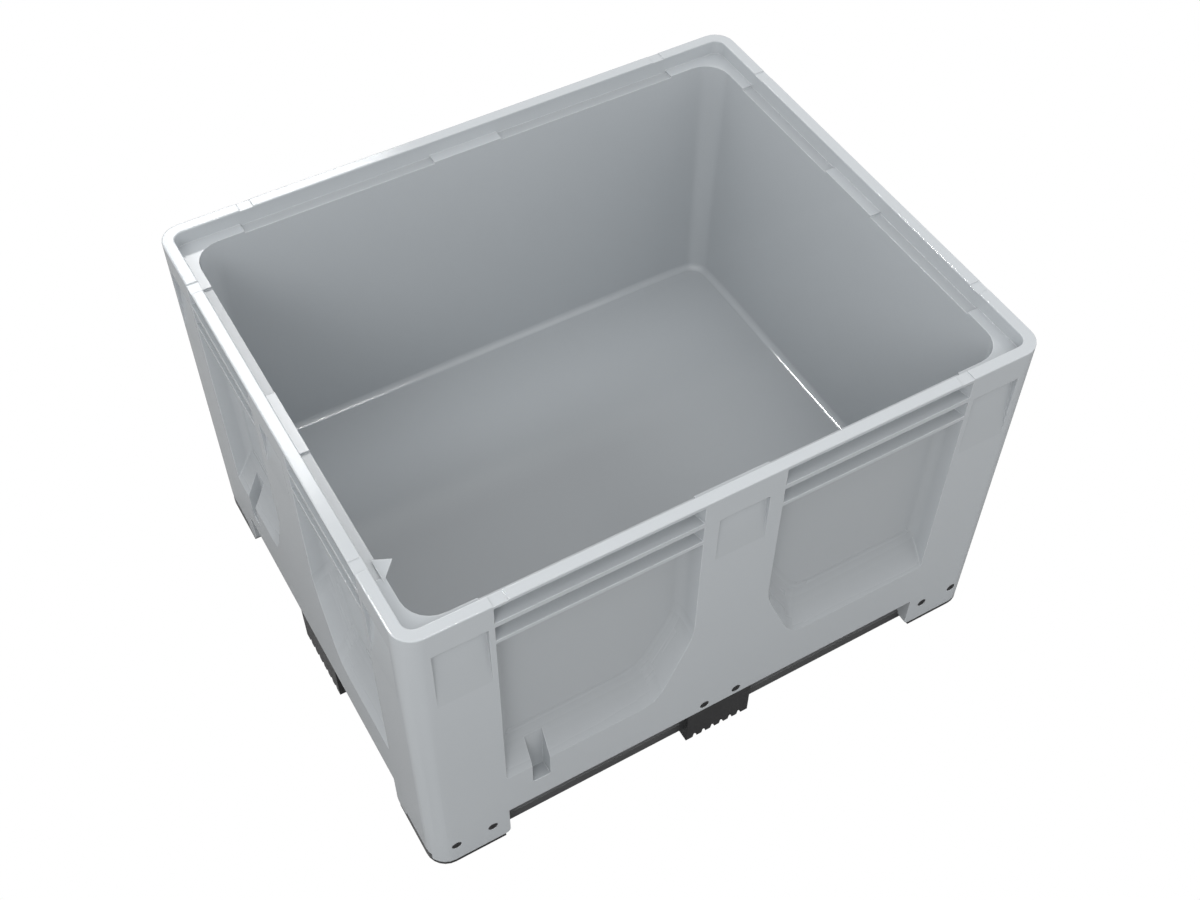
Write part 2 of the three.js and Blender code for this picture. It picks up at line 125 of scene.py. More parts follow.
class ShaderEffects:
    """Node groups that several materials use, painted highlights and painted shade among them.

    Lengths are in metres, in the object's own frame. The shares say how far a mask goes, from 0 to
    1. They are fitted to the tones of the photograph, and measure no property of a plastic.

    Attributes:
        EDGE_SAMPLES: Samples of the rounded normal that finds edges.
        EDGE_REACH: How far from an edge that normal still bends.
        EDGE_AGREEMENT: Agreement of the normals where the painted highlight begins and is full.
        HALF_LENGTH: Half of the container's length.
        HALF_WIDTH: Half of its width.
        PANEL_DEPTH: How far the panels are set back.
        WALL_DEPTH: Depth up to which a point counts as outside.
        RIM_UNDERSIDE: Height over which the painted shade of the outer walls ends.
        FLAT_SHARE: Share of the painted shade at the depth of a panel.
        SLOPE_SHARE: Share of the mask on the steepest upward slope that counts.
        SLOPE_LIMIT: Upward part of the normal at that slope.
        FADE_HEIGHTS: Heights between which the mask fades under the rim.
        FADE_SHARE: What is left of the mask above them.
        FLOOR_TOP: Height under which a point inside counts as floor.
        FLOOR_FACING: Upward part of the normal over which a face counts as flat.
        FLOOR_SHADE_REACH: Places along Y between which the floor's painted shade fades.
        FLOOR_SHADE_SHARES: Shares of the mask at those places.
        FLOOR_SHADE_SIDE: Places along X between which the floor's painted shade fades once more.
        FLOOR_SHADE_SIDE_SHARE: What is left of it at the second of them.
        LOW_LEDGE: Height of the lower step of the ledge.
        LEDGE_SLACK: How far from that height still counts.
        LEDGE_SHARE: Share of the painted shade there.
        FLOOR_ROUGHNESS: Roughness added on the floor.
        DULL_ROUGHNESS: Roughness added where the mask is full.
        RIM_TOP: Height over which the top of the rim gets a painted highlight.
        RIM_HIGHLIGHT: Strength of the painted highlight there.
        FLOW_DETAIL: Detail of the flow patches.
        FLOW_ROUGHNESS: Roughness of their noise.
        FLOW_RANGE: Noise values that become 0 and 1.
        GRAIN_DETAIL: Detail of the fine grain.
        RIPPLE_SCALE: Scale of the long ripples.
        RIPPLE_DETAIL: Detail of the long ripples.
        RIPPLE_WEIGHT: Height of the ripples against the grain.
        HIGHLIGHT_NOISE_SCALE: Scale of the noise that breaks up the painted edge highlight.
        HIGHLIGHT_NOISE_DETAIL: Detail of that noise.
    """

    EDGE_SAMPLES = 4
    EDGE_REACH = 0.0025
    EDGE_AGREEMENT = (0.999, 0.93)
    HALF_LENGTH = 0.600
    HALF_WIDTH = 0.500
    PANEL_DEPTH = 0.037
    WALL_DEPTH = 0.0405
    RIM_UNDERSIDE = 0.710
    FLAT_SHARE = 0.35
    SLOPE_SHARE = 0.47
    SLOPE_LIMIT = 0.45
    FADE_HEIGHTS = (0.60, 0.69)
    FADE_SHARE = 0.35
    FLOOR_TOP = 0.185
    FLOOR_FACING = 0.99
    FLOOR_SHADE_REACH = (0.06, 0.32)
    FLOOR_SHADE_SHARES = (0.85, 0.12)
    FLOOR_SHADE_SIDE = (0.0, 0.5)
    FLOOR_SHADE_SIDE_SHARE = 0.3
    LOW_LEDGE = 0.716
    LEDGE_SLACK = 0.0015
    LEDGE_SHARE = 0.38
    FLOOR_ROUGHNESS = 0.22
    DULL_ROUGHNESS = 0.35
    RIM_TOP = 0.747
    RIM_HIGHLIGHT = 0.25
    FLOW_DETAIL = 3.0
    FLOW_ROUGHNESS = 0.45
    FLOW_RANGE = (0.35, 0.65)
    GRAIN_DETAIL = 2.0
    RIPPLE_SCALE = 9.0
    RIPPLE_DETAIL = 1.0
    RIPPLE_WEIGHT = 6.0
    HIGHLIGHT_NOISE_SCALE = 35.0
    HIGHLIGHT_NOISE_DETAIL = 5.0

    def __init__(self) -> None:
        """Builds the groups once."""
        self.flow = self._flow_patches()
        self.grain = self._moulded_grain()
        # Painted highlights on edges and on the top of the rim.
        self.painted_highlight = self._painted_edge_highlight()
        # Painted shade on the parts set back, the floor and the lower ledge step; on the black
        # runners it lightens.
        self.painted_shading = self._painted_shading_group()

    @staticmethod
    def _new_group(name: str, inputs: Labels, outputs: Labels) -> Tree:
        """Makes an empty node group with its sockets.

        Args:
            name: Name of the group.
            inputs: Pairs of socket name and socket type.
            outputs: Pairs of socket name and socket type.

        Returns:
            The new group, with a Group Input and a Group Output node.
        """
        group = bpy.data.node_groups.new(name, "ShaderNodeTree")
        for label, kind in inputs:
            group.interface.new_socket(name=label, in_out="INPUT", socket_type=kind)
        for label, kind in outputs:
            group.interface.new_socket(name=label, in_out="OUTPUT", socket_type=kind)
        group.nodes.new("NodeGroupInput").name = "in"
        group.nodes.new("NodeGroupOutput").name = "out"
        return group

    def _flow_patches(self) -> Tree:
        """Broad soft patches where the melt cooled unevenly.

        Returns:
            A group that turns a scale into a mask from 0 to 1.
        """
        group = self._new_group(
            "flow_patches",
            [("Vector", "NodeSocketVector"), ("Scale", "NodeSocketFloat")],
            [("Mask", "NodeSocketFloat")],
        )
        nodes, links = group.nodes, group.links
        noise = nodes.new("ShaderNodeTexNoise")
        noise.inputs["Detail"].default_value = self.FLOW_DETAIL
        noise.inputs["Roughness"].default_value = self.FLOW_ROUGHNESS
        ramp = nodes.new("ShaderNodeMapRange")
        for label, number in zip(("From Min", "From Max"), self.FLOW_RANGE):
            ramp.inputs[label].default_value = number
        links.new(nodes["in"].outputs["Vector"], noise.inputs["Vector"])
        links.new(nodes["in"].outputs["Scale"], noise.inputs["Scale"])
        links.new(noise.outputs["Fac"], ramp.inputs["Value"])
        links.new(ramp.outputs["Result"], nodes["out"].inputs["Mask"])
        return group

    def _moulded_grain(self) -> Tree:
        """Fine spark-eroded grain with faint long ripples.

        Returns:
            A group that turns a grain scale into a height.
        """
        group = self._new_group(
            "moulded_grain",
            [("Vector", "NodeSocketVector"), ("Grain Scale", "NodeSocketFloat")],
            [("Height", "NodeSocketFloat")],
        )
        nodes, links = group.nodes, group.links
        fine = nodes.new("ShaderNodeTexNoise")
        fine.inputs["Detail"].default_value = self.GRAIN_DETAIL
        broad = nodes.new("ShaderNodeTexNoise")
        broad.inputs["Scale"].default_value = self.RIPPLE_SCALE
        broad.inputs["Detail"].default_value = self.RIPPLE_DETAIL
        links.new(nodes["in"].outputs["Vector"], fine.inputs["Vector"])
        links.new(nodes["in"].outputs["Grain Scale"], fine.inputs["Scale"])
        links.new(nodes["in"].outputs["Vector"], broad.inputs["Vector"])
        height = self._math(
            group, "MULTIPLY_ADD", broad.outputs["Fac"], self.RIPPLE_WEIGHT, fine.outputs["Fac"])
        links.new(height, nodes["out"].inputs["Height"])
        return group

    def _painted_edge_highlight(self) -> Tree:
        """Painted highlights on edges, where a rounded normal leaves the flat one, and on the top
        of the rim.

        Returns:
            A group that gives a painted highlight mask from 0 to 1.
        """
        group = self._new_group(
            "painted_edge_highlight",
            [("Vector", "NodeSocketVector"), ("Amount", "NodeSocketFloat")],
            [("Mask", "NodeSocketFloat")],
        )
        nodes, links = group.nodes, group.links
        geometry = nodes.new("ShaderNodeNewGeometry")
        rounded = nodes.new("ShaderNodeBevel")
        rounded.samples = self.EDGE_SAMPLES
        rounded.inputs["Radius"].default_value = self.EDGE_REACH
        # Painted highlight where the rounded normal turns away from the flat one, broken up by
        # noise.
        agree = nodes.new("ShaderNodeVectorMath")
        agree.operation = "DOT_PRODUCT"
        edge = nodes.new("ShaderNodeMapRange")
        for label, number in zip(("From Min", "From Max"), self.EDGE_AGREEMENT):
            edge.inputs[label].default_value = number
        noise = nodes.new("ShaderNodeTexNoise")
        noise.inputs["Scale"].default_value = self.HIGHLIGHT_NOISE_SCALE
        noise.inputs["Detail"].default_value = self.HIGHLIGHT_NOISE_DETAIL
        links.new(geometry.outputs["Normal"], agree.inputs[0])
        links.new(rounded.outputs["Normal"], agree.inputs[1])
        links.new(agree.outputs["Value"], edge.inputs["Value"])
        links.new(nodes["in"].outputs["Vector"], noise.inputs["Vector"])
        broken_highlight = self._math(group, "MULTIPLY", edge.outputs["Result"], noise.outputs["Fac"])
        scaled = self._math(group, "MULTIPLY", broken_highlight, nodes["in"].outputs["Amount"])
        place = nodes.new("ShaderNodeSeparateXYZ")
        links.new(nodes["in"].outputs["Vector"], place.inputs["Vector"])
        # Painted highlight over the whole top of the rim.
        top = self._math(group, "GREATER_THAN", place.outputs["Z"], self.RIM_TOP)
        rim = self._math(group, "MULTIPLY", top, self.RIM_HIGHLIGHT)
        links.new(self._math(group, "MAXIMUM", scaled, rim), nodes["out"].inputs["Mask"])
        return group

    @staticmethod
    def _math(group: Tree, operation: str, *values: Socket | float) -> Socket:
        """Adds one sum to a group.

        Args:
            group: The group.
            operation: The kind of sum.
            values: What goes in, as sockets or numbers.

        Returns:
            The socket with the result.
        """
        node = group.nodes.new("ShaderNodeMath")
        node.operation = operation
        for socket, value in zip(node.inputs, values):
            if isinstance(value, bpy.types.NodeSocket):
                group.links.new(value, socket)
            else:
                socket.default_value = value
        return node.outputs["Value"]

    def _painted_shading_group(self) -> Tree:
        """Painted shade, with a duller gloss, on the parts set back, on part of the floor and on
        the ledge.

        Returns:
            A group that gives a painted shade mask, 0 on the outer faces, and what to add to the
            roughness there.
        """
        group = self._new_group(
            "painted_shading_group",
            [("Vector", "NodeSocketVector")],
            [("Mask", "NodeSocketFloat"), ("Dulling", "NodeSocketFloat")],
        )
        nodes, links = group.nodes, group.links
        place = nodes.new("ShaderNodeSeparateXYZ")
        links.new(nodes["in"].outputs["Vector"], place.inputs["Vector"])
        geometry = nodes.new("ShaderNodeNewGeometry")
        facing = nodes.new("ShaderNodeSeparateXYZ")
        links.new(geometry.outputs["True Normal"], facing.inputs["Vector"])
        east = self._math(group, "ABSOLUTE", place.outputs["X"])
        north = self._math(group, "ABSOLUTE", place.outputs["Y"])
        across = self._math(group, "SUBTRACT", self.HALF_LENGTH, east)
        along = self._math(group, "SUBTRACT", self.HALF_WIDTH, north)
        depth = self._math(group, "MINIMUM", across, along)
        outside = self._math(group, "LESS_THAN", depth, self.WALL_DEPTH)
        below = self._math(group, "LESS_THAN", place.outputs["Z"], self.RIM_UNDERSIDE)
        # Painted shade on the walls below the rim: more the deeper a face is set back and the more
        # it faces up.
        share = self._math(group, "MULTIPLY", depth, self.FLAT_SHARE / self.PANEL_DEPTH)
        upward = self._math(group, "MAXIMUM", facing.outputs["Z"], 0.0)
        slope = self._math(group, "MINIMUM", upward, self.SLOPE_LIMIT)
        both = self._math(group, "MULTIPLY_ADD", slope, self.SLOPE_SHARE / self.SLOPE_LIMIT, share)
        gate = self._math(group, "MULTIPLY", outside, below)
        fade = self._span(group, place.outputs["Z"], self.FADE_HEIGHTS, (1.0, self.FADE_SHARE))
        wall = self._math(group, "MULTIPLY", self._math(group, "MULTIPLY", both, gate), fade)
        # Painted shade on the middle of the floor, fading towards the back and the right side.
        inside = self._math(group, "SUBTRACT", 1.0, outside)
        low = self._math(group, "LESS_THAN", place.outputs["Z"], self.FLOOR_TOP)
        flat = self._math(group, "GREATER_THAN", facing.outputs["Z"], self.FLOOR_FACING)
        floor_shade = self._span(group, place.outputs["Y"], self.FLOOR_SHADE_REACH, self.FLOOR_SHADE_SHARES)
        floor_area = self._math(group, "MULTIPLY", self._math(group, "MULTIPLY", inside, low), flat)
        floor = self._math(group, "MULTIPLY", floor_area, floor_shade)
        aside = self._span(group, place.outputs["X"], self.FLOOR_SHADE_SIDE, (1.0, self.FLOOR_SHADE_SIDE_SHARE))
        floor = self._math(group, "MULTIPLY", floor, aside)
        # Painted shade on the lower step of the ledge.
        level = self._math(group, "COMPARE", place.outputs["Z"], self.LOW_LEDGE, self.LEDGE_SLACK)
        step = self._math(group, "MULTIPLY", level, flat)
        ledge = self._math(group, "MULTIPLY", step, self.LEDGE_SHARE)
        skin = self._math(group, "MAXIMUM", wall, floor)
        mask = self._math(group, "MAXIMUM", skin, ledge)
        links.new(mask, nodes["out"].inputs["Mask"])
        matt = self._math(group, "MULTIPLY", floor_area, self.FLOOR_ROUGHNESS)
        dulling = self._math(group, "MULTIPLY_ADD", mask, self.DULL_ROUGHNESS, matt)
        links.new(dulling, nodes["out"].inputs["Dulling"])
        return group

    @staticmethod
    def _span(group: Tree, value: Socket, source: Pair, target: Pair) -> Socket:
        """Turns one range into another inside a group.

        Args:
            group: The group.
            value: What is turned.
            source: The range that it comes from.
            target: The range that it goes to.

        Returns:
            The socket with the result.
        """
        node = group.nodes.new("ShaderNodeMapRange")
        node.interpolation_type = "SMOOTHSTEP"
        for label, number in zip(("From Min", "From Max", "To Min", "To Max"), (*source, *target)):
            node.inputs[label].default_value = number
        group.links.new(value, node.inputs["Value"])
        return node.outputs["Result"]


class PlasticMaterial:
    """Builds the shader of one moulded plastic.

    Attributes:
        FLOW_SCALE: Scale of the flow patches.
        BEVEL_SAMPLES: Samples of the normal that rounds sharp edges.
        BUMP_STRENGTH: Strength of the grain.
        REFRACTION: Refractive index of the plastic.
    """

    FLOW_SCALE = 2.2
    BEVEL_SAMPLES = 6
    BUMP_STRENGTH = 0.6
    REFRACTION = 1.49

    def __init__(self, finish: PlasticFinish, effects: ShaderEffects) -> None:
        """Makes the material.

        Args:
            finish: The look to build.
            effects: The shared node groups.
        """
        self.finish = finish
        self.material = bpy.data.materials.new(finish.title)
        self.material.use_nodes = True
        self._wire(effects)

    def _group(self, tree: Tree, values: dict[str, float]) -> bpy.types.Node:
        """Places a shared group in the material.

        Args:
            tree: The group.
            values: Socket values of this material.

        Returns:
            The group's node, fed with object coordinates.
        """
        nodes = self.material.node_tree.nodes
        node = nodes.new("ShaderNodeGroup")
        node.node_tree = tree
        for label, value in values.items():
            node.inputs[label].default_value = value
        self.material.node_tree.links.new(self.coordinates.outputs["Object"], node.inputs["Vector"])
        return node

    def _wire(self, effects: ShaderEffects) -> None:
        """Connects colour, roughness and bump.

        Args:
            effects: The shared node groups.
        """
        finish = self.finish
        nodes, links = self.material.node_tree.nodes, self.material.node_tree.links
        shader = nodes["Principled BSDF"]
        self.coordinates = nodes.new("ShaderNodeTexCoord")
        flow = self._group(effects.flow, {"Scale": self.FLOW_SCALE})
        grain = self._group(effects.grain, {"Grain Scale": finish.grain_scale})
        painted_highlight = self._group(effects.painted_highlight, {"Amount": finish.painted_highlight})
        painted_shading = self._group(effects.painted_shading, {})
        tint = nodes.new("ShaderNodeMix")
        tint.data_type = "RGBA"
        tint.inputs["A"].default_value = (*finish.colour, 1.0)
        tint.inputs["B"].default_value = (*finish.shade, 1.0)
        # Painted shade: set-back parts, the floor's middle and the lower ledge step are drawn to a
        # darker colour; on the black runners it is lighter, painted light.
        painted_shading_mix = nodes.new("ShaderNodeMix")
        painted_shading_mix.data_type = "RGBA"
        painted_shading_mix.inputs["B"].default_value = (*finish.painted_shading, 1.0)
        # Painted highlight on edges and on the top of the rim.
        highlighted = nodes.new("ShaderNodeMix")
        highlighted.data_type = "RGBA"
        highlighted.inputs["B"].default_value = (*finish.highlight_colour, 1.0)
        gloss = nodes.new("ShaderNodeMapRange")
        gloss.inputs["To Min"].default_value = finish.roughness[0]
        gloss.inputs["To Max"].default_value = finish.roughness[1]
        rounding = nodes.new("ShaderNodeBevel")
        rounding.samples = self.BEVEL_SAMPLES
        rounding.inputs["Radius"].default_value = finish.edge_radius
        bump = nodes.new("ShaderNodeBump")
        bump.inputs["Strength"].default_value = self.BUMP_STRENGTH
        bump.inputs["Distance"].default_value = finish.grain
        links.new(flow.outputs["Mask"], tint.inputs["Factor"])
        links.new(tint.outputs["Result"], painted_shading_mix.inputs["A"])
        links.new(painted_shading.outputs["Mask"], painted_shading_mix.inputs["Factor"])
        links.new(painted_shading_mix.outputs["Result"], highlighted.inputs["A"])
        links.new(painted_highlight.outputs["Mask"], highlighted.inputs["Factor"])
        links.new(highlighted.outputs["Result"], shader.inputs["Base Color"])
        links.new(flow.outputs["Mask"], gloss.inputs["Value"])
        dulled = nodes.new("ShaderNodeMath")
        dulled.operation = "ADD"
        links.new(painted_shading.outputs["Dulling"], dulled.inputs[0])
        links.new(gloss.outputs["Result"], dulled.inputs[1])
        links.new(dulled.outputs["Value"], shader.inputs["Roughness"])
        links.new(grain.outputs["Height"], bump.inputs["Height"])
        links.new(rounding.outputs["Normal"], bump.inputs["Normal"])
        links.new(bump.outputs["Normal"], shader.inputs["Normal"])
        shader.inputs["IOR"].default_value = self.REFRACTION

    def dress(self, piece: bpy.types.Object) -> None:
        """Gives the material to a piece.

        Args:
            piece: The mesh object to dress.
        """
        piece.data.materials.clear()
        piece.data.materials.append(self.material)
        for polygon in piece.data.polygons:
            polygon.material_index = 0


def deselect_all() -> None:
    """Clears the selection, so that an operator touches only what is chosen next."""
    bpy.ops.object.select_all(action="DESELECT")


def pick(piece: bpy.types.Object) -> None:
    """Makes one object the only selected and active one.

    Args:
        piece: The object.
    """
    deselect_all()
    piece.select_set(True)
    bpy.context.view_layer.objects.active = piece


class FlatFirstNormals:
    """Corner normals that keep flats flat and let the small rounds flow into them.

    Faces that lie in one plane form a region. Round a corner, the regions between two sharp edges
    share one normal, in which a large region counts far more than a narrow strip of a round.

    Attributes:
        FLAT_ANGLE: Normals nearer than this lie in one plane.
        ROUND_ANGLE: Regions that meet at more than this break.
        LIP_ANGLE: The same, where one of the two faces along an axis.
        AXIS_SLACK: Part of a normal along an axis over which it counts as facing along it.
    """

    FLAT_ANGLE = math.radians(0.3)
    ROUND_ANGLE = math.radians(40.0)
    LIP_ANGLE = math.radians(20.0)
    AXIS_SLACK = 0.9999

    def __init__(self, mesh: bpy.types.Mesh) -> None:
        """Works out the regions of a welded mesh.

        Args:
            mesh: The mesh, with no loose or doubled points.
        """
        self.mesh = mesh
        self.shape = bmesh.new()
        self.shape.from_mesh(mesh)
        self.shape.faces.ensure_lookup_table()
        self.region: dict[int, int] = {}
        self.area: list[float] = []
        self.normal: list[Vector] = []
        for face in self.shape.faces:
            if face.index not in self.region:
                self._grow_region(face)

    def _grow_region(self, start: bmesh.types.BMFace) -> None:
        """Gathers the faces that lie in one plane with a first one.

        Args:
            start: A face that has no region yet.
        """
        number = len(self.area)
        self.region[start.index] = number
        waiting = [start]
        total = Vector((0.0, 0.0, 0.0))
        area = 0.0
        while waiting:
            face = waiting.pop()
            total += face.normal * face.calc_area()
            area += face.calc_area()
            for edge in face.edges:
                for other in edge.link_faces:
                    if other.index in self.region:
                        continue
                    if other.normal.angle(start.normal, math.pi) > self.FLAT_ANGLE:
                        continue
                    self.region[other.index] = number
                    waiting.append(other)
        self.area.append(area)
        self.normal.append(total.normalized())

    def _is_main_face(self, number: int) -> bool:
        """Tells whether a region faces along one of the three axes.

        Args:
            number: The region.

        Returns:
            True if it does.
        """
        return max(abs(part) for part in self.normal[number]) > self.AXIS_SLACK

    def _is_sharp(self, edge: bmesh.types.BMEdge) -> bool:
        """Tells whether the surface breaks at an edge.

        Args:
            edge: The edge to judge.

        Returns:
            True for a corner or for the lip of a slope against one of the main faces.
        """
        if len(edge.link_faces) != 2:
            return True
        one, two = (self.region[face.index] for face in edge.link_faces)
        angle = self.normal[one].angle(self.normal[two], math.pi)
        lip = self._is_main_face(one) or self._is_main_face(two)
        return angle > (self.LIP_ANGLE if lip else self.ROUND_ANGLE)

    def _fan_normal(self, faces: Iterable[bmesh.types.BMFace]) -> Vector:
        """Blends the normals of the regions in one fan, by the square of their areas.

        Args:
            faces: The faces of the fan.

        Returns:
            The blended normal.
        """
        total = Vector((0.0, 0.0, 0.0))
        for number in {self.region[face.index] for face in faces}:
            total += self.normal[number] * self.area[number] ** 2
        return total.normalized()

    def apply(self) -> None:
        """Writes the corner normals into the mesh."""
        sharp = {edge.index for edge in self.shape.edges if self._is_sharp(edge)}
        normals = [Vector((0.0, 0.0, 1.0))] * len(self.mesh.loops)
        for point in self.shape.verts:
            left = set(point.link_faces)
            while left:
                fan = {left.pop()}
                waiting = list(fan)
                while waiting:
                    face = waiting.pop()
                    for edge in face.edges:
                        if point not in edge.verts or edge.index in sharp:
                            continue
                        joined = left.intersection(edge.link_faces)
                        left -= joined
                        fan |= joined
                        waiting.extend(joined)
                normal = self._fan_normal(fan)
                for corner in point.link_loops:
                    if corner.face in fan:
                        normals[corner.index] = normal
        self.shape.free()
        for polygon in self.mesh.polygons:
            polygon.use_smooth = True
        self.mesh.normals_split_custom_set(normals)


@dataclass
class MouthCorners:
    """Tighter corners for the loading space, nearer to the photograph than the CAD's.

    The photograph gives about 62 mm at the near left corner and 50 mm or less at the others. One
    value between them is used for all four.

    Attributes:
        reach: Half length and half width of the mouth, in metres.
        drawn: Corner radius of the CAD mouth, in metres.
        real: Corner radius that is given to the scene's copy, in metres.
        band: Nearest and farthest that a point of the wall lies from a corner's middle, in metres.
        lowest: Height under which nothing moves, in metres.
    """

    reach: tuple[float, float] = (0.556, 0.456)
    drawn: float = 0.100
    real: float = 0.052
    band: tuple[float, float] = (0.075, 0.112)
    lowest: float = 0.155

    def apply(self, mesh: bpy.types.Mesh) -> None:
        """Moves both skins of the wall outwards in the four corners.

        Args:
            mesh: The box moulding's mesh.
        """
        for point in mesh.vertices:
            across = abs(point.co.x) - self.reach[0] + self.drawn
            along = abs(point.co.y) - self.reach[1] + self.drawn
            away = math.hypot(across, along)
            in_corner = min(across, along) >= 0.0 and point.co.z >= self.lowest
            if not in_corner or not self.band[0] < away < self.band[1]:
                continue
            step = self.drawn - self.real
            point.co.x += math.copysign(step * (1.0 - across / away), point.co.x)
            point.co.y += math.copysign(step * (1.0 - along / away), point.co.y)


@dataclass
class MouldedCopy:
    """A CAD moulding, welded into one skin and shaded like a clean moulding.

    Attributes:
        node: Name of the node that the piece stands for.
        title: Name of the new piece.
        reshape: What changes the mesh before its normals are settled, if anything does.
        weld: Points nearer than this become one, in metres.
    """

    node: str
    title: str
    reshape: MouthCorners | None = None
    weld: float = 0.00002

    def build(self) -> bpy.types.Object:
        """Copies the node, welds its triangles and settles its normals.

        Returns:
            The finished piece.
        """
        piece = bpy.data.objects.new(self.title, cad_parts[self.node].data.copy())
        bpy.context.scene.collection.objects.link(piece)
        pick(piece)
        bpy.ops.object.mode_set(mode="EDIT")
        bpy.ops.mesh.select_all(action="SELECT")
        bpy.ops.mesh.remove_doubles(threshold=self.weld)
        bpy.ops.object.mode_set(mode="OBJECT")
        if self.reshape:
            self.reshape.apply(piece.data)
            piece.data.update()
        FlatFirstNormals(piece.data).apply()
        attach(piece, "root")
        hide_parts(self.node)
        log.info("%s: %d faces", piece.name, len(piece.data.polygons))
        return piece


@dataclass
class Spur:
    """The small three-cornered lug on the ledge of the left side, near the front corner.

    Attributes:
        root: Its two ends on the ledge, in metres.
        tip: Its point over the loading space, in metres.
        top: Height of its top, in metres.
        thickness: How thick it is, in metres.
        start_radius: Radius of the triangle before its points are placed, in metres.
    """

    root: tuple[tuple[float, float], ...] = ((-0.562, -0.362), (-0.562, -0.315))
    tip: tuple[float, float] = (-0.532, -0.329)
    top: float = 0.7205
    thickness: float = 0.0035
    start_radius: float = 0.02

    def build(self) -> bpy.types.Object:
        """Shapes the lug.

        Returns:
            The finished lug.
        """
        deselect_all()
        bpy.ops.mesh.primitive_circle_add(vertices=3, radius=self.start_radius, fill_type="NGON")
        piece = bpy.context.object
        piece.name = "ledge_lug"
        for point, (x, y) in zip(piece.data.vertices, (self.tip, *reversed(self.root))):
            point.co = (x, y, self.top - self.thickness)
        bpy.ops.object.mode_set(mode="EDIT")
        bpy.ops.mesh.select_all(action="SELECT")
        bpy.ops.mesh.extrude_region_move(
            TRANSFORM_OT_translate={"value": (0.0, 0.0, self.thickness)})
        bpy.ops.mesh.select_all(action="SELECT")
        bpy.ops.mesh.normals_make_consistent(inside=False)
        bpy.ops.object.mode_set(mode="OBJECT")
        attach(piece, "root")
        return piece


@dataclass
class PushPin:
    """The visible head of one push-in pin, with its shank, on a long side.

    Attributes:
        node: Name of the pin's node.
        side: The side that it sits in.
        crown: How far the head's edge is rounded, in metres.
        dimple: Radius of the gate mark in the middle of the head, in metres.
        dimple_depth: Depth of the gate mark, in metres.
        faces: Number of faces round the pin.
        shank_share: How far the shank is drawn in, as a share of the radius.
        shank_round: Rounding of the shank's end, in metres.
        narrowest: Least width of the ring round the gate mark, in metres.
        smooth_angle: Edges flatter than this are shaded smooth, in degrees.
    """

    node: str
    side: Side
    crown: float = 0.0016
    dimple: float = 0.0030
    dimple_depth: float = 0.0006
    faces: int = 48
    shank_share: float = 0.42
    shank_round: float = 0.001
    narrowest: float = 0.001
    smooth_angle: float = 35.0

    def build(self) -> bpy.types.Object:
        """Models the pin from a cylinder that fills the node's box.

        Returns:
            The finished pin.
        """
        low, high = (Vector(corner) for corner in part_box(self.node))
        middle = (low + high) / 2
        radius = (high.x - low.x) / 2
        length = high.y - low.y
        deselect_all()
        bpy.ops.mesh.primitive_cylinder_add(
            vertices=self.faces, radius=radius, depth=length, location=middle,
            rotation=(math.pi / 2 * -self.side.value, 0.0, 0.0), end_fill_type="NGON",
        )
        piece = bpy.context.object
        piece.name = self.node + "_turned"
        bpy.ops.object.transform_apply(location=True, rotation=True, scale=True)
        self._shape(piece, low, high, radius)
        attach(piece, "root")
        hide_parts(self.node)
        return piece

    def _choose(self, piece: bpy.types.Object, test: Callable[[Vector, Vector], bool]) -> None:
        """Selects the faces that pass a test of their centre and normal.

        Args:
            piece: The object, in object mode.
            test: Takes a face's centre and normal.
        """
        bpy.ops.object.mode_set(mode="EDIT")
        bpy.ops.mesh.select_all(action="DESELECT")
        bpy.ops.object.mode_set(mode="OBJECT")
        for face in piece.data.polygons:
            face.select = test(face.center, face.normal)
        bpy.ops.object.mode_set(mode="EDIT")

    def _shape(self, piece: bpy.types.Object, low: Vector, high: Vector, radius: float) -> None:
        """Draws the shank in, rounds the head and presses the gate mark.

        Args:
            piece: The plain cylinder.
            low: Lowest corner of the node's box.
            high: Highest corner of the node's box.
            radius: Radius of the head.
        """
        outward = self.side.value
        face = high.y if outward > 0 else low.y
        bpy.context.tool_settings.mesh_select_mode = (False, False, True)
        self._choose(piece, lambda centre, normal: normal.y * outward < -0.9)
        bpy.ops.mesh.inset(thickness=radius * self.shank_share)
        bpy.ops.mesh.bevel(offset=self.shank_round, segments=2)
        self._choose(piece, lambda centre, normal: normal.y * outward > 0.9)
        bpy.ops.mesh.bevel(offset=self.crown, segments=3, affect="EDGES")
        self._choose(
            piece, lambda centre, normal: normal.y * outward > 0.99 and abs(centre.y - face) < 1e-5)
        bpy.ops.mesh.inset(thickness=max(radius - self.crown - self.dimple, self.narrowest))
        bpy.ops.mesh.extrude_region_move(
            TRANSFORM_OT_translate={"value": (0.0, -outward * self.dimple_depth, 0.0)})
        bpy.ops.object.mode_set(mode="OBJECT")
        bpy.ops.object.shade_smooth_by_angle(angle=math.radians(self.smooth_angle))


@dataclass
class Container:
    """The whole container: box moulding with its lug, runners and pins.

    Attributes:
        runners: Names of the runners' nodes.
        pins_per_side: Number of pins on a long side.
        effects: The shared node groups.
    """

    runners: tuple[str, ...] = ("runner_front", "runner_middle", "runner_back")
    pins_per_side: int = 6
    effects: ShaderEffects = field(default_factory=ShaderEffects)

    def build(self) -> None:
        """Builds and dresses every piece."""
        grey = PlasticMaterial(GREY_MOULDING, self.effects)
        black = PlasticMaterial(BLACK_MOULDING, self.effects)
        pin_black = PlasticMaterial(BLACK_PIN, self.effects)
        grey.dress(MouldedCopy("container_body", "box_moulding", MouthCorners()).build())
        grey.dress(Spur().build())
        for name in self.runners:
            black.dress(MouldedCopy(name, name + "_moulding").build())
        for side in Side:
            for number in range(1, self.pins_per_side + 1):
                pin_black.dress(PushPin(f"pin_{side.name.lower()}_{number}", side).build())


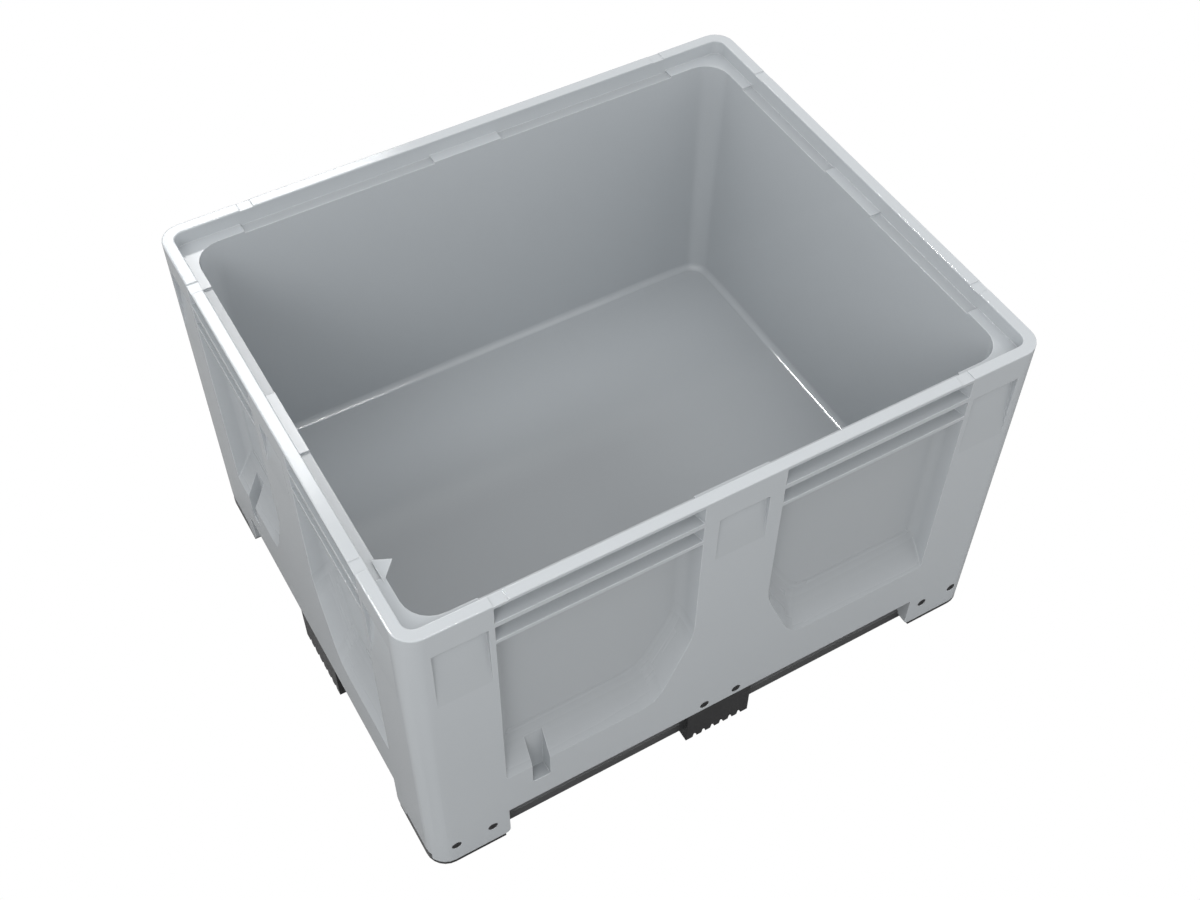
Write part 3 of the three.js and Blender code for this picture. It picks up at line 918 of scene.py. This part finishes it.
@dataclass
class Studio:
    """Camera, floor, backdrop and lights.

    Attributes:
        azimuth: Where the camera stands round the object, in degrees.
        elevation: How high it looks down from, in degrees.
        roll: How far the picture is turned, in degrees.
        place: The camera's place, in metres.
        lens: Focal length, in millimetres.
        sensor: Width of the sensor, in millimetres.
        clip: How far the camera sees, in metres.
        floor_size: Length of the floor's sides, in metres.
        floor_height: Height of the floor, in metres.
        floor_grey: Grey of the floor, linear, for light that doesn't go straight to the camera.
        floor_roughness: Roughness of the floor.
        far: Distance of the gloss panels, in metres.
        aim: Point that lamps and panels face, in metres.
        zenith: Strength of the dome overhead.
        horizon: Strength of the dome at the horizon.
    """

    azimuth: float = -30.80
    elevation: float = 50.98
    roll: float = 0.79
    place: tuple[float, float, float] = (-0.9635, -1.6639, 2.6765)
    lens: float = 47.05
    sensor: float = 36.0
    clip: float = 100.0
    floor_size: float = 30.0
    floor_height: float = -0.0005
    floor_grey: float = 0.25
    floor_roughness: float = 0.9
    far: float = 20.0
    aim: Vector = field(default_factory=lambda: Vector((0.0, 0.0, 0.5)))
    zenith: float = 1.20
    horizon: float = 0.95

    def build(self) -> None:
        """Makes everything that isn't part of the container."""
        bpy.context.scene.view_settings.view_transform = "Standard"
        self._camera()
        self._world()
        self._floor()
        self._lamps()

    def _camera(self) -> None:
        """Places the camera where the photograph was taken from."""
        data = bpy.data.cameras.new("camera")
        data.lens = self.lens
        data.sensor_width = self.sensor
        data.clip_end = self.clip
        camera = bpy.data.objects.new("camera", data)
        bpy.context.scene.collection.objects.link(camera)
        turn = Euler((0.0, 0.0, math.radians(self.azimuth))).to_matrix()
        tilt = Euler((math.radians(90.0 - self.elevation), 0.0, 0.0)).to_matrix()
        roll = Euler((0.0, 0.0, math.radians(self.roll))).to_matrix()
        camera.matrix_world = Matrix.Translation(self.place) @ (turn @ tilt @ roll).to_4x4()
        bpy.context.scene.camera = camera

    def _world(self) -> None:
        """Gives a pale dome, brighter overhead, that shows plain white to the camera."""
        world = bpy.data.worlds.new("studio")
        world.use_nodes = True
        bpy.context.scene.world = world
        nodes, links = world.node_tree.nodes, world.node_tree.links
        background = nodes["Background"]
        background.inputs["Color"].default_value = (1.0, 1.0, 1.0, 1.0)
        direction = nodes.new("ShaderNodeTexCoord")
        split = nodes.new("ShaderNodeSeparateXYZ")
        dome = nodes.new("ShaderNodeMapRange")
        dome.inputs["To Min"].default_value = self.horizon
        dome.inputs["To Max"].default_value = self.zenith
        path = nodes.new("ShaderNodeLightPath")
        strength = nodes.new("ShaderNodeMix")
        strength.inputs["B"].default_value = 1.0
        links.new(direction.outputs["Generated"], split.inputs["Vector"])
        links.new(split.outputs["Z"], dome.inputs["Value"])
        links.new(path.outputs["Is Camera Ray"], strength.inputs["Factor"])
        links.new(dome.outputs["Result"], strength.inputs["A"])
        links.new(strength.outputs["Result"], background.inputs["Strength"])

    def _floor(self) -> None:
        """Lays a grey floor that shows plain white to the camera."""
        deselect_all()
        bpy.ops.mesh.primitive_plane_add(
            size=self.floor_size, location=(0.0, 0.0, self.floor_height))
        floor = bpy.context.object
        floor.name = "studio_floor"
        bpy.ops.object.transform_apply(location=True, rotation=True, scale=True)
        material = bpy.data.materials.new("studio_floor")
        material.use_nodes = True
        nodes, links = material.node_tree.nodes, material.node_tree.links
        shader = nodes["Principled BSDF"]
        shader.inputs["Base Color"].default_value = (*[self.floor_grey] * 3, 1.0)
        shader.inputs["Roughness"].default_value = self.floor_roughness
        glow = nodes.new("ShaderNodeEmission")
        glow.inputs["Strength"].default_value = 1.0
        path = nodes.new("ShaderNodeLightPath")
        mix = nodes.new("ShaderNodeMixShader")
        links.new(path.outputs["Is Camera Ray"], mix.inputs["Fac"])
        links.new(shader.outputs["BSDF"], mix.inputs[1])
        links.new(glow.outputs["Emission"], mix.inputs[2])
        links.new(mix.outputs["Shader"], nodes["Material Output"].inputs["Surface"])
        floor.data.materials.append(material)

    def _lamp(
        self, name: str, place: Sequence[float], size: Pair, power: float,
    ) -> bpy.types.Object:
        """Adds one soft lamp aimed at the container.

        Args:
            name: Name of the lamp.
            place: Where it hangs, in metres.
            size: Its width and height, in metres.
            power: Its power, in watts.

        Returns:
            The lamp.
        """
        data = bpy.data.lights.new(name, "AREA")
        data.shape = "RECTANGLE"
        data.size, data.size_y = size
        data.energy = power
        lamp = bpy.data.objects.new(name, data)
        bpy.context.scene.collection.objects.link(lamp)
        lamp.location = place
        aim = self.aim - Vector(place)
        lamp.rotation_euler = aim.to_track_quat("-Z", "Y").to_euler()
        return lamp

    def _reflector(
        self, name: str, azimuth: float, elevation: float, size: Pair, glow: float,
    ) -> None:
        """Adds a far panel that shows only in gloss, such as in the tops of the rims.

        Args:
            name: Name of the panel.
            azimuth: Its direction from the container, in degrees from +Y towards +X.
            elevation: Its height above the horizon, in degrees.
            size: Its width and height as seen from the container, in degrees.
            glow: Its radiance.
        """
        around, high = math.radians(azimuth), math.radians(elevation)
        flat = math.cos(high)
        direction = Vector((math.sin(around) * flat, math.cos(around) * flat, math.sin(high)))
        width, height = (2.0 * self.far * math.tan(math.radians(angle) / 2.0) for angle in size)
        power = glow * math.pi * width * height
        lamp = self._lamp(name, self.aim + direction * self.far, (width, height), power)
        lamp.visible_diffuse = False

    def _lamps(self) -> None:
        """Hangs the key lamp and the panels that the gloss reflects."""
        self._lamp("key", (-2.91, -3.19, 3.57), (1.7, 1.7), 53.0)
        self._lamp("left_fill", (-6.0, 0.2, 0.5), (2.0, 0.8), 33.0)
        self._reflector("back_panel", 13.0, 45.5, (10.0, 14.0), 8.0)
        self._reflector("right_edge_panel", -8.0, 60.0, (12.0, 3.5), 90.0)
        self._reflector("back_edge_panel", 121.0, 79.0, (5.0, 5.0), 40.0)


def main() -> None:
    """Builds the studio and the container."""
    logging.basicConfig(level=logging.INFO)
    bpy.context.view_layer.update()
    Studio().build()
    Container().build()


if __name__ == "__main__":
    main()
